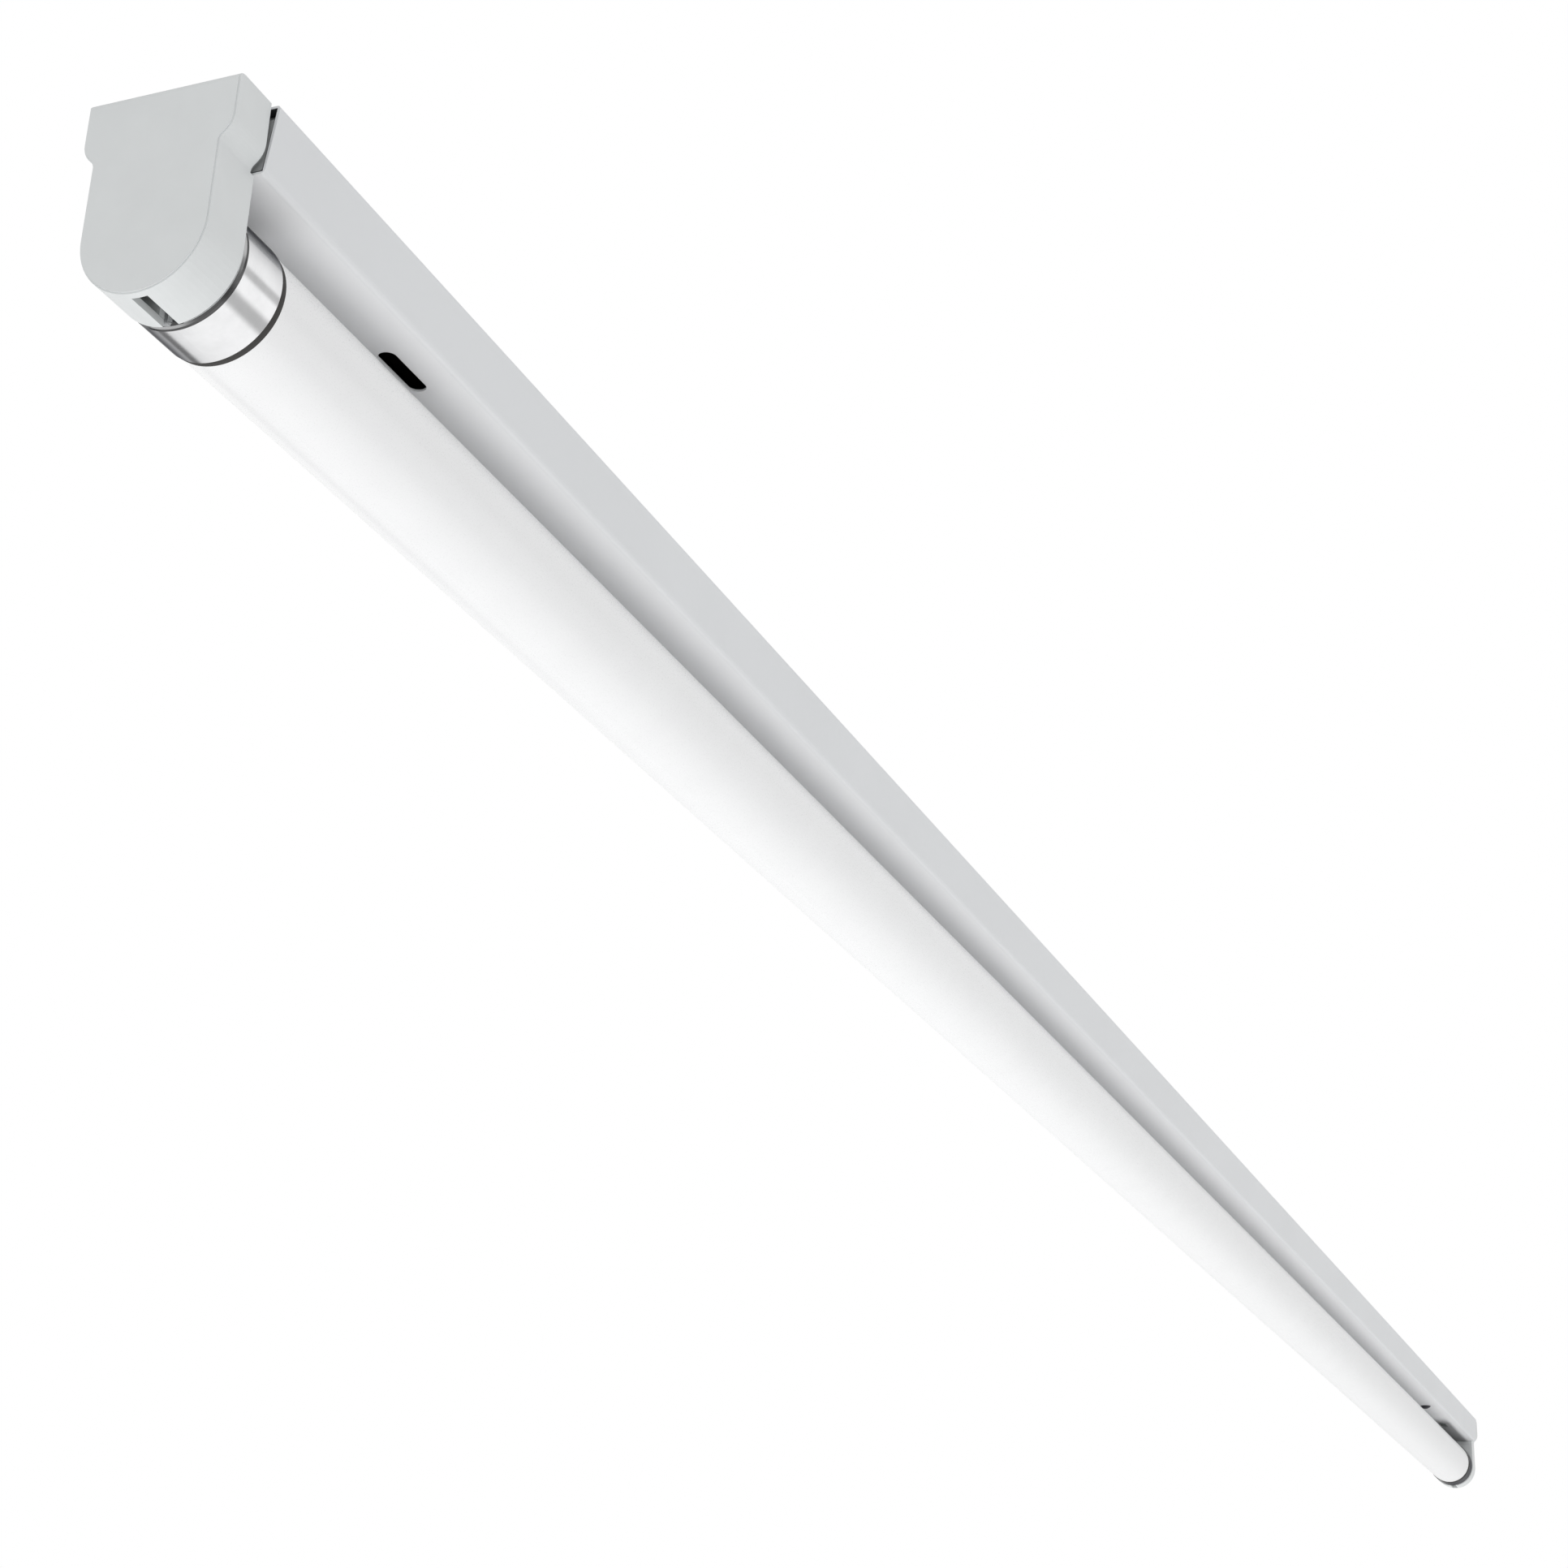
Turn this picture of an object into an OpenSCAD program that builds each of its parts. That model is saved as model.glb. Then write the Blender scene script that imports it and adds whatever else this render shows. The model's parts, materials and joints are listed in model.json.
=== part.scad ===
// Slim single batten light with a straight two-pin tube lamp.
// X runs along the batten, +Z points up to the ceiling, and z = 0 is the ceiling face.
// The origin lies midway between the two ceiling screws.

/* [Lamp] */
// Length of the tube lamp between the faces of its two caps
lamp_len = 1500; // [1200:1:1800]
// Outer radius of the glass tube
glass_r = 12.75; // [12.5:0.05:12.9]
// Wall of the glass tube
glass_wall = 0.9; // [0.6:0.1:1.2]
// Wall of a lamp cap
lamp_cap_wall = 0.3; // [0.2:0.05:0.5]
// Length of a lamp cap along the tube
lamp_cap_len = 12.7; // [10:0.1:16]
// Distance between the two pins of a cap, centre to centre
pin_pitch = 12.7; // [12.5:0.1:12.9]
// Radius of a lamp pin
pin_r = 1.18; // [1.1:0.01:1.25]
// Length of a pin outside its cap
pin_len = 7; // [6.5:0.1:7.5]
// Width of the light strip inside the tube
strip_w = 10; // [8:0.5:14]
// Thickness of the light strip
strip_t = 0.8; // [0.6:0.1:1.6]
// Distance between neighbouring light chips
chip_pitch = 12.4; // [9:0.1:20]
// Length of the driver board inside the tube
driver_len = 96; // [80:1:130]

/* [End caps and lampholders] */
// Depth of the lampholder, from the outer face to the face that meets the lamp
holder_depth = 11.5; // [11.2:0.1:14]
// Gap between a lampholder and the lamp cap
lamp_gap = 0.5; // [0.3:0.1:1]
// How far the lampholder stands out past the part of the end cap that closes the spine
cap_back = 1.2; // [0.5:0.1:1.7]
// Half width of the end cap
cap_half_w = 15.9; // [15.4:0.1:16.2]
// Width of the groove between an end cap and the spine
seam_gap = 1.1; // [0.8:0.1:1.4]
// Outer radius of the rounded bottom of the lampholder
bowl_r = 13.3; // [13.2:0.1:14.5]
// Wall of the end cap
cap_wall = 1.5; // [1.2:0.1:1.8]
// Step around the outer face of the end cap
cap_step = 0.3; // [0.2:0.05:0.5]
// Radius of the end cap's upper front edge
cap_top_r = 1.7; // [0.8:0.1:2]
// Radius of the shoulder where the cap narrows to the lampholder
shoulder_r = 5; // [4.4:0.1:5.4]
// Radius of the hollow under the shoulder
neck_r = 2; // [1.5:0.1:2.5]
// Length of the tongue that enters the spine
tongue_len = 22; // [18:1:30]
// Width of the slot that lets the pins in from below
entry_w = 3.3; // [3:0.1:3.8]
// Radius of the rotor where it turns in the front plate
rotor_r = 8.2; // [8:0.1:8.6]
// Running clearance of the rotor in the front plate
rotor_clear = 0.08; // [0.05:0.01:0.1]
// Width of the slot across the rotor
rotor_slot_w = 3; // [2.8:0.1:3.2]

/* [Spine] */
// Half width of the spine at the ceiling
top_half_w = 17.2; // [16.6:0.1:18]
// Half width of the spine at its lower fold
foot_half_w = 15.5; // [15.2:0.1:15.9]
// Height of the spine
spine_h = 14.2; // [13.8:0.1:15]
// Thickness of the steel sheet
sheet_t = 0.6; // [0.4:0.1:0.8]
// Outer radius of the folds at the web
bend_r = 1.2; // [1:0.1:1.6]
// Outer radius of the folds at the ceiling
lip_bend_r = 0.7; // [0.7:0.1:1.2]
// Width of the lips that turn inwards at the ceiling
lip_w = 5; // [4:0.1:5.6]
// Distance from the ceiling to the axis of the lamp
axis_drop = 29.7; // [29:0.1:32]
// Length of the slots for clip-on parts
slot_len = 16; // [12:0.5:20]
// Width of the slots for clip-on parts
slot_w = 4; // [3.5:0.1:4]
// Distance of a slot's centre from the end of the batten
slot_from_end = 80.3; // [70:0.1:90]
// Distance of a slot's centre line from the middle of the spine
slot_side = 5.3; // [4:0.1:6]

/* [Base plate and ceiling clips] */
// Distance between the two ceiling screws
clip_pitch = 900; // [700:1:1000]
// Radius of the ceiling screws' holes
clip_hole_r = 2.25; // [2:0.05:2.75]
// Thickness of the base plate
base_t = 0.6; // [0.5:0.1:0.8]
// Distance of the base plate from the end of the batten where the supply cable comes in
entry_from_end = 69; // [66:1:71]
// Width of a clip along the spine
clip_w = 20; // [16:1:30]
// Thickness of the clip's steel
clip_t = 0.8; // [0.6:0.1:1]

/* [Wiring] */
// Radius of an insulated wire
wire_r = 1; // [0.8:0.05:1.1]
// Distance of the long wires from the middle of the spine
wire_side = 11.8; // [11.4:0.1:12.2]
// Distance between neighbouring pairs of wire clips
wire_clip_pitch = 340; // [250:1:360]
// Distance of the terminal block's middle from the end of the batten
block_from_end = 112; // [108:1:116]
// Length of the terminal block along the spine
block_len = 20; // [18:0.5:22]
// Distance between neighbouring poles of the terminal block
pole_pitch = 7.4; // [7.2:0.1:7.5]
// Height of the terminal block
block_h = 11.6; // [11:0.1:12]
// Distance of the earth screw from the end of the batten
earth_from_end = 155; // [152:1:160]
// Distance of the earth screw from the middle of the spine
earth_side = 6; // [5.5:0.1:6.2]

/* [Hidden] */
$fn = 48;

// Small gap between pieces that are held still against each other
seat = 0.1;
// Gap between pieces that sit side by side
side_gap = 0.3;
// Gap between a piece and the hole that holds it
snug = 0.05;
// How far a cut runs past a face that it opens
over = 1;
// Length of the whole batten, and the places measured from its middle
overall_l = lamp_len + 2 * (holder_depth + lamp_gap);
half_l = overall_l / 2;
cap_depth = holder_depth - cap_back;
spine_start = cap_depth + seam_gap;
channel_half = half_l - spine_start;
block_x = half_l - block_from_end;
earth_x = half_l - earth_from_end;
// Heights below the ceiling
axis_z = -axis_drop;
web_top = -spine_h + sheet_t;
// Slant of the spine's side walls
lean = atan2(top_half_w - foot_half_w, spine_h);
// Height of the shoulder's centre, and the steps that make a fold and the round bottom
shoulder_z = -8.9;
cap_corner_r = 0.2;
bend_steps = 6;
bowl_steps = 16;
// Tongue of the end cap inside the spine
tongue_inset = sheet_t + 0.1;
tongue_wall = 1.5;
tongue_start = cap_depth - 1.5;
tongue_end = cap_depth + tongue_len;
tongue_floor = -spine_h + tongue_inset + tongue_wall;
groove_depth = 0.8;
// Height below the ceiling at which the tongue's side walls start, next to the groove
tongue_low = 2.9;
tongue_low_l = 2;
// Roof of the lampholder, under the web of the spine
roof_z = -spine_h - 0.2;
plate_top = roof_z - cap_wall;
// Stations along the rotor, from the outer face of the end cap
plate_t = 1.5;
face_wall = 1.6;
stub_r = 2.5;
stub_x = 1;
disc_x = 2.2;
groove_x = lamp_gap + holder_depth - pin_len - 0.5;
shoulder_x = holder_depth - plate_t - side_gap - 0.9;
boss_x = holder_depth - plate_t - side_gap;
rotor_front = holder_depth - seat;
disc_r = rotor_r + 0.4;
stop_r = rotor_r + 0.7;
groove_r = pin_pitch / 2 + pin_r - 0.5;
// Contact springs, which press on the pins beside the rotor
contact_t = 0.4;
contact_w = 3;
contact_y = pin_pitch / 2 + pin_r + seat;
contact_x = groove_x + 0.8;
contact_low = -3;
contact_bend = 9.6;
contact_tail = 14;
tail_y = bowl_r - cap_wall - 0.3;
// Screw that holds an end cap to the spine
cap_screw_x = cap_depth + 12;
cap_screw_r = 1.5;
cap_boss_r = 3.2;
cap_boss_h = 4;
screw_head_r = 2.8;
screw_head_h = 1.5;
// Mouth of the spine between its lips, and the plate that closes it
mouth = top_half_w - lip_w;
base_half_w = mouth - side_gap;
// Clip's reach under the lips, and the height of its sprung legs
clip_reach = top_half_w - 2.6;
clip_leg = 4;
clip_top = -max(base_t, sheet_t) - seat;
// Half width of the opening along the top of an end cap's tongue
tongue_mouth = mouth - 2;
// Terminal block
pole_count = 3;
block_half = pole_pitch * pole_count / 2 - 0.1;
block_flange = 8;
flange_w = 8;
flange_t = 1.4;
chamber_wall = 2;
pole_z = web_top + 4.4;
pole_r = 1.9;
insert_half = 2.5;
insert_wall = 0.2;
clamp_r = 1.3;
clamp_x = block_len / 2 - 4.5;
clamp_head_r = 1.9;
rivet_r = 1.5;
rivet_x = block_len / 2 + block_flange / 2;
// Earth stud
stud_r = 2;
stud_head_r = 3.1;
stud_head_h = 1.7;
washer_t = 0.5;
tag_t = 0.8;
nut_h = 3.2;
nut_af = 7;
tag_z = web_top + washer_t;
tag_barrel_len = 7;
tag_reach = 5.5;
// Long wires
wire_z = web_top + wire_r + 0.3;
wire_high = tongue_floor + wire_r + 0.3;
wire_clip_count = 4;
wire_clip_l = 8;
wire_clip_base = 0.9;
// Lamp
lamp_half = lamp_len / 2;
glass_in = glass_r - glass_wall;
lamp_cap_r = glass_r + lamp_cap_wall + 0.05;
glass_half = lamp_half - 2;
lamp_cap_face = 1;
bead_w = 1.8;
lamp_edge_r = 1.4;
insulator_r = 9.2;
insulator_t = 3;
pin_root = 2.2;
strip_half = lamp_half - 22;
strip_top = sqrt(pow(glass_in, 2) - pow(strip_w / 2, 2)) - 0.05;
strip_low = strip_top - strip_t;
chip_count = floor((2 * strip_half - 12) / chip_pitch);
chip_l = 3.5;
chip_w = 2.8;
chip_t = 0.7;
board_z = -3;
board_t = 1.2;
board_half_w = sqrt(pow(glass_in, 2) - pow(board_z, 2)) - 0.3;
board_x1 = lamp_half - 18;
board_x0 = board_x1 - driver_len;

// Half width of the spine's outside at height z
function wall_y(z) = foot_half_w + (top_half_w - foot_half_w) * (z + spine_h) / spine_h;

// Extrudes a section drawn in the YZ plane from x0 to x1
module along_x(x0, x1) {
    translate([x0, 0, 0]) rotate([90, 0, 90]) linear_extrude(x1 - x0) children();
}

// Draws its children at the left end, or mirrored at the right end
module at_end(side) {
    if (side < 0) {
        translate([-half_l, 0, 0]) children();
    } else {
        mirror([1, 0, 0]) translate([-half_l, 0, 0]) children();
    }
}

// Draws its children as they are and mirrored across the middle of the spine
module both_sides() {
    children();
    mirror([0, 1, 0]) children();
}

// Round bar along X
module bar_x(x0, x1, r) {
    translate([x0, 0, 0]) rotate([0, 90, 0]) cylinder(h = x1 - x0, r = r);
}

// Solid of revolution about X, from a section drawn as [along, radius]
module turned_x(points) {
    rotate([0, 90, 0]) rotate_extrude() polygon([for (p = points) [p[1], p[0]]]);
}

// Points of an arc about [y, z], both ends included
function arc(centre, r, from, to, steps) = [for (i = [0:steps]) let (a = from + (to - from) * i / steps)
    centre + r * [cos(a), sin(a)]];
// Both halves of an outline, from the points of the half where y > 0; a last point at y = 0 counts once
function mirrored(half) = let (last = len(half) - (abs(half[len(half) - 1][0]) < 0.001 ? 2 : 1))
    concat(half, [for (i = [last:-1:0]) [-half[i][0], half[i][1]]]);
// A list without its first point, for an arc that starts where the last one ended
function rest_of(points) = [for (i = [1:len(points) - 1]) points[i]];
// Centre of a round corner of radius r beside the slanted wall, at height z
function wall_corner(z, inset, r) = [wall_y(z) - (inset + r) / cos(lean), z];

// Outline of the spine's outside, inset by the given distance
function spine_outline(inset) = let (r = max(bend_r - inset, 0.2), top_r = max(lip_bend_r - inset, 0.2))
    mirrored(concat(
        arc(wall_corner(-inset - top_r, inset, top_r), top_r, 90, -lean, bend_steps),
        arc(wall_corner(-spine_h + inset + r, inset, r), r, -lean, -90, bend_steps)));

// Centres of the shoulder's arc and of the hollow under it, which touch each other
shoulder_centre = [cap_half_w - shoulder_r, shoulder_z];
hollow_reach = bowl_r + neck_r - shoulder_centre[0];
hollow_centre = shoulder_centre + [hollow_reach, -sqrt(pow(shoulder_r + neck_r, 2) - pow(hollow_reach, 2))];
hollow_turn = acos(hollow_reach / (shoulder_r + neck_r));
// Outline of the end cap: side walls, round shoulders, neck and round bottom; its top lies at -drop
function cap_outline(inset, drop) = let (r = max(cap_corner_r - inset, 0.2)) mirrored(concat(
    arc([cap_half_w - inset - r, -drop - r], r, 90, 0, bend_steps),
    arc(shoulder_centre, shoulder_r - inset, 0, -hollow_turn, bend_steps),
    rest_of(arc(hollow_centre, neck_r + inset, 180 - hollow_turn, 180, bend_steps)),
    arc([0, axis_z], bowl_r - inset, 0, -90, bowl_steps)));

// Neck and round bottom alone, up to the given height
function bowl_outline(inset, top_z) = mirrored(concat(
    [[bowl_r - inset, top_z]], arc([0, axis_z], bowl_r - inset, 0, -90, bowl_steps)));

// Triangles that fill a mirrored outline of n points, from one side across to the other
function fill_across(n) = [for (i = [0:ceil(n / 2) - 2]) let (a = i, b = i + 1, c = n - 1 - i, d = n - 2 - i)
    each (b == d ? [[a, b, c]] : [[a, b, c], [b, d, c]])];

// Solid along X through mirrored outlines, each at its own station, with flat ends
module loft_x(stations, outlines) {
    n = len(outlines[0]);
    last = len(stations) - 1;
    points = [for (k = [0:last]) for (p = outlines[k]) [stations[k], p[0], p[1]]];
    sides = [for (k = [0:last - 1], i = [0:n - 1]) let (a = k * n + i, b = k * n + (i + 1) % n)
        each [[a, b, a + n], [b, b + n, a + n]]];
    near_end = [for (t = fill_across(n)) [t[0], t[2], t[1]]];
    far_end = [for (t = fill_across(n)) [for (v = t) v + last * n]];
    polyhedron(points, concat(sides, near_end, far_end));
}

// How far the end cap's top drops at a station near its outer face
round_steps = 5;
function top_drop(x) = x < cap_top_r ? cap_top_r - sqrt(pow(cap_top_r, 2) - pow(cap_top_r - x, 2)) : 0;

// Body of the end cap without its hollow: a plain face, a small step around it and a round upper edge
module cap_block() {
    rounding = [for (k = [1:round_steps]) cap_top_r * (1 - cos(90 * k / round_steps))];
    face = [0, cap_step / 4, cap_step];
    rest = concat([cap_step], [for (x = rounding) if (x > cap_step) x], [cap_depth]);
    loft_x(face, [for (x = face) cap_outline(cap_step, top_drop(x))]);
    loft_x(rest, [for (x = rest) cap_outline(0, top_drop(x))]);
}

// Cup of the end cap and lampholder
module cap_cup() {
    slot_start = face_wall + 0.2;
    difference() {
        union() {
            cap_block();
            along_x(cap_step + over, holder_depth) polygon(bowl_outline(0, roof_z));
        }
        along_x(face_wall, tongue_start) polygon(cap_outline(cap_wall, cap_wall));
        along_x(tongue_start - over, holder_depth + over) polygon(bowl_outline(cap_wall, plate_top));
        along_x(tongue_start - over, cap_depth + over) {
            intersection() {
                polygon(cap_outline(cap_wall, cap_wall));
                translate([-top_half_w, tongue_floor]) square([2 * top_half_w, spine_h]);
            }
        }
        translate([0, 0, axis_z]) bar_x(stub_x - 2 * seat, face_wall + over, stub_r + rotor_clear);
        translate([slot_start, -entry_w / 2, axis_z - bowl_r - over]) {
            cube([holder_depth + over - slot_start, entry_w, bowl_r + over - rotor_r]);
        }
    }
}

// Tongue that slides into the spine, with the boss for its screw
module cap_tongue() {
    difference() {
        union() {
            difference() {
                intersection() {
                    along_x(tongue_start, tongue_end) polygon(spine_outline(tongue_inset));
                    union() {
                        along_x(tongue_start - over, spine_start) {
                            polygon(cap_outline(groove_depth, groove_depth));
                        }
                        along_x(spine_start, tongue_end + over) polygon(spine_outline(0));
                    }
                }
                translate([cap_depth, -top_half_w, -tongue_low]) {
                    cube([seam_gap + tongue_low_l, 2 * top_half_w, tongue_low]);
                }
                along_x(tongue_start - over, tongue_end + over) {
                    polygon(spine_outline(tongue_inset + tongue_wall));
                }
                translate([tongue_start - over, -tongue_mouth, -spine_h / 2]) {
                    cube([tongue_end + 2 * over - tongue_start, 2 * tongue_mouth, spine_h]);
                }
            }
            translate([cap_screw_x, 0, -spine_h + tongue_inset]) cylinder(h = cap_boss_h, r = cap_boss_r);
        }
        translate([cap_screw_x, 0, -spine_h]) {
            cylinder(h = cap_boss_h + tongue_inset + over, r = cap_screw_r + snug);
        }
    }
}

// Ribs inside the lampholder that back the contact springs and seat the front plate
module cap_ribs() {
    rib_y = contact_y + contact_t + 0.2;
    rib_h = 6;
    seat_w = 1.2;
    seat_h = 4;
    sunk = 0.3;
    both_sides() {
        difference() {
            translate([face_wall - sunk, rib_y, axis_z + contact_low - 1]) {
                cube([contact_x + contact_w + sunk - face_wall, bowl_r - cap_wall + sunk - rib_y, rib_h]);
            }
            translate([0, 0, axis_z]) bar_x(face_wall, groove_x + side_gap, disc_r + side_gap);
        }
        translate([face_wall - sunk, bowl_r - cap_wall - seat_w, axis_z - seat_h / 2]) {
            cube([holder_depth - plate_t - seat - face_wall + sunk, seat_w + sunk, seat_h]);
        }
    }
}

module end_cap(side) {
    color("gainsboro") at_end(side) {
        cap_cup();
        cap_tongue();
        cap_ribs();
    }
}

// Plate that closes the lampholder towards the lamp and carries the rotor
module holder_plate(side) {
    back = holder_depth - plate_t;
    color("whitesmoke") at_end(side) difference() {
        along_x(back, holder_depth) polygon(bowl_outline(cap_wall + seat, plate_top - seat));
        translate([0, 0, axis_z]) bar_x(back - over, holder_depth + over, rotor_r + rotor_clear);
        translate([back - over, -entry_w / 2, axis_z - bowl_r]) {
            cube([plate_t + 2 * over, entry_w, bowl_r - rotor_slot_w]);
        }
    }
}

// Rotor that takes the two pins in its slot and turns with the lamp
module rotor(side) {
    color("white") at_end(side) translate([0, 0, axis_z]) difference() {
        turned_x([[stub_x, 0], [stub_x, stub_r], [disc_x, stub_r], [disc_x, disc_r], [groove_x, disc_r],
            [groove_x, groove_r], [shoulder_x, groove_r], [shoulder_x, stop_r], [boss_x, stop_r],
            [boss_x, rotor_r], [rotor_front, rotor_r], [rotor_front, 0]]);
        translate([groove_x, -stop_r - over, -rotor_slot_w / 2]) {
            cube([holder_depth, 2 * (stop_r + over), rotor_slot_w]);
        }
    }
}

// One bent strip: it presses on a pin, turns outwards and ends in a tail for the wire
module contact_strip() {
    translate([contact_x, 0, axis_z]) {
        translate([0, contact_y, contact_low]) cube([contact_w, contact_t, contact_bend - contact_low]);
        translate([0, contact_y, contact_bend]) cube([contact_w, tail_y - contact_y, contact_t]);
        translate([0, tail_y - contact_t, contact_bend]) {
            cube([contact_w, contact_t, contact_tail - contact_bend]);
        }
    }
}

module contacts(side) {
    color("peru") at_end(side) both_sides() contact_strip();
}

// Pan head with a cross recess, its flat side on z = 0 and its top towards -Z
module pan_head(r, h) {
    dome_r = r + h / 2;
    cross_reach = r * 0.45;
    cross_w = 0.7;
    cross_depth = 0.7;
    difference() {
        rotate_extrude() intersection() {
            translate([0, -h]) square([r, h]);
            translate([0, dome_r - h]) circle(dome_r);
        }
        for (a = [0, 90]) rotate(a) translate([-cross_reach, -cross_w / 2, -h - over]) {
            cube([2 * cross_reach, cross_w, cross_depth + over]);
        }
    }
}

// Screws that hold the end caps to the spine, driven from below
module cap_screws() {
    color("silver") for (side = [-1, 1]) at_end(side) translate([cap_screw_x, 0, -spine_h]) {
        pan_head(screw_head_r, screw_head_h);
        cylinder(h = cap_boss_h + tongue_inset - 0.4, r = cap_screw_r);
    }
}

// Folded steel channel, open towards the ceiling
module spine_channel() {
    color("white") difference() {
        along_x(-channel_half, channel_half) difference() {
            polygon(spine_outline(0));
            polygon(spine_outline(sheet_t));
            translate([-mouth, -spine_h / 2]) square([2 * mouth, spine_h]);
        }
        for (end = [-1, 1]) {
            for (s = [-1, 1]) translate([end * (half_l - slot_from_end), s * slot_side, 0]) web_slot();
            translate([end * (half_l - cap_screw_x), 0, 0]) web_hole(cap_screw_r + 2 * seat);
        }
        translate([earth_x, -earth_side, 0]) web_hole(stud_r + seat);
        for (s = [-1, 1]) translate([block_x + s * rivet_x, 0, 0]) web_hole(rivet_r + snug);
    }
}

// Round hole through the web
module web_hole(r) {
    translate([0, 0, -spine_h - over]) cylinder(h = sheet_t + 2 * over, r = r);
}

// Round-ended slot along X, through the web
module web_slot() {
    run = (slot_len - slot_w) / 2;
    for (s = [-1, 1]) translate([s * run, 0, 0]) web_hole(slot_w / 2);
    translate([-run, -slot_w / 2, -spine_h - over]) cube([2 * run, slot_w, sheet_t + 2 * over]);
}

// Plate that is screwed to the ceiling and closes the back of the spine, except over the supply opening
module base_plate() {
    length = channel_half + half_l - entry_from_end;
    color("lightgray") difference() {
        translate([-channel_half, -base_half_w, -base_t]) cube([length, 2 * base_half_w, base_t]);
        for (end = [-1, 1]) translate([end * clip_pitch / 2, 0, -base_t - over]) {
            cylinder(h = base_t + 2 * over, r = clip_hole_r);
        }
    }
}

// Spring clip under the base plate, whose sprung ends hold the lips of the spine
module ceiling_clip(side) {
    color("silver") translate([side * clip_pitch / 2 - clip_w / 2, 0, clip_top]) difference() {
        union() {
            translate([0, -clip_reach, -clip_t]) cube([clip_w, 2 * clip_reach, clip_t]);
            both_sides() translate([0, clip_reach - clip_t, -clip_leg]) cube([clip_w, clip_t, clip_leg]);
        }
        translate([clip_w / 2, 0, -clip_t - over]) cylinder(h = clip_t + 2 * over, r = clip_hole_r);
    }
}

function pole_y(i) = (i - (pole_count - 1) / 2) * pole_pitch;

// Insulating body of the terminal block, with a well over each screw
module terminal_body() {
    color("ivory") translate([block_x, 0, 0]) difference() {
        union() {
            translate([-block_len / 2, -block_half, web_top]) cube([block_len, 2 * block_half, block_h]);
            translate([-block_len / 2 - block_flange, -flange_w / 2, web_top]) {
                cube([block_len + 2 * block_flange, flange_w, flange_t]);
            }
        }
        for (i = [0:pole_count - 1]) translate([0, pole_y(i), 0]) {
            translate([0, 0, pole_z]) bar_x(-block_len / 2 - over, block_len / 2 + over, pole_r);
            translate([chamber_wall - block_len / 2, -insert_half - seat, pole_z - insert_half - seat]) {
                cube([block_len - 2 * chamber_wall, 2 * (insert_half + seat), 2 * (insert_half + seat)]);
            }
            for (s = [-1, 1]) translate([s * clamp_x, 0, pole_z]) {
                cylinder(h = block_h, r = clamp_head_r + seat);
            }
        }
        for (s = [-1, 1]) translate([s * rivet_x, 0, web_top - over]) {
            cylinder(h = flange_t + 2 * over, r = rivet_r + snug);
        }
    }
}

// Brass clamps inside the terminal block
module terminal_inserts() {
    length = block_len - 2 * (chamber_wall + seat);
    color("goldenrod") for (i = [0:pole_count - 1]) translate([block_x, pole_y(i), pole_z]) difference() {
        translate([-length / 2, -insert_half, -insert_half]) {
            cube([length, 2 * insert_half, 2 * insert_half]);
        }
        bar_x(-length, length, pole_r - insert_wall);
        for (s = [-1, 1]) translate([s * clamp_x, 0, 0]) cylinder(h = 2 * insert_half, r = clamp_r + snug);
    }
}

// Slotted clamp screws of the terminal block
module terminal_screws() {
    bite = 0.4;
    sunk = 0.6;
    cut_w = 0.6;
    cut_depth = 0.8;
    tip = pole_z + pole_r - insert_wall - bite;
    head_z = pole_z + insert_half + side_gap;
    head_top = web_top + block_h - sunk;
    color("silver") for (i = [0:pole_count - 1]) for (s = [-1, 1]) {
        translate([block_x + s * clamp_x, pole_y(i), 0]) difference() {
            union() {
                translate([0, 0, tip]) cylinder(h = head_z - tip + seat, r = clamp_r);
                translate([0, 0, head_z]) cylinder(h = head_top - head_z, r = clamp_head_r);
            }
            translate([-clamp_head_r - over, -cut_w / 2, head_top - cut_depth]) {
                cube([2 * (clamp_head_r + over), cut_w, cut_depth + over]);
            }
        }
    }
}

// Rivets that hold the terminal block's flanges to the web
module terminal_rivets() {
    top = web_top + flange_t;
    head_r = 2.8;
    head_h = 0.9;
    tail_r = 2.3;
    tail_h = 0.8;
    color("silver") for (s = [-1, 1]) translate([block_x + s * rivet_x, 0, 0]) {
        translate([0, 0, -spine_h]) cylinder(h = top + spine_h, r = rivet_r);
        translate([0, 0, top]) cylinder(h = head_h, r = head_r);
        translate([0, 0, -spine_h - tail_h]) cylinder(h = tail_h, r = tail_r);
    }
}

module at_earth(z) {
    translate([earth_x, -earth_side, z]) children();
}

module earth_screw() {
    tip = 0.8;
    shank = sheet_t + washer_t + tag_t + nut_h + tip;
    color("dimgray") at_earth(-spine_h) {
        pan_head(stud_head_r, stud_head_h);
        cylinder(h = shank, r = stud_r);
    }
}

// Toothed washer under the earth tag
module earth_washer() {
    teeth = 10;
    tooth_w = 0.7;
    ring_r = stud_r + 1.3;
    tip_r = stud_r + 2;
    color("silver") at_earth(web_top) difference() {
        union() {
            cylinder(h = washer_t, r = ring_r);
            for (i = [0:teeth - 1]) rotate(i * 360 / teeth) translate([stud_r + 1, -tooth_w / 2, 0]) {
                cube([tip_r - stud_r - 1, tooth_w, washer_t]);
            }
        }
        translate([0, 0, -over]) cylinder(h = washer_t + 2 * over, r = stud_r + seat);
    }
}

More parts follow.
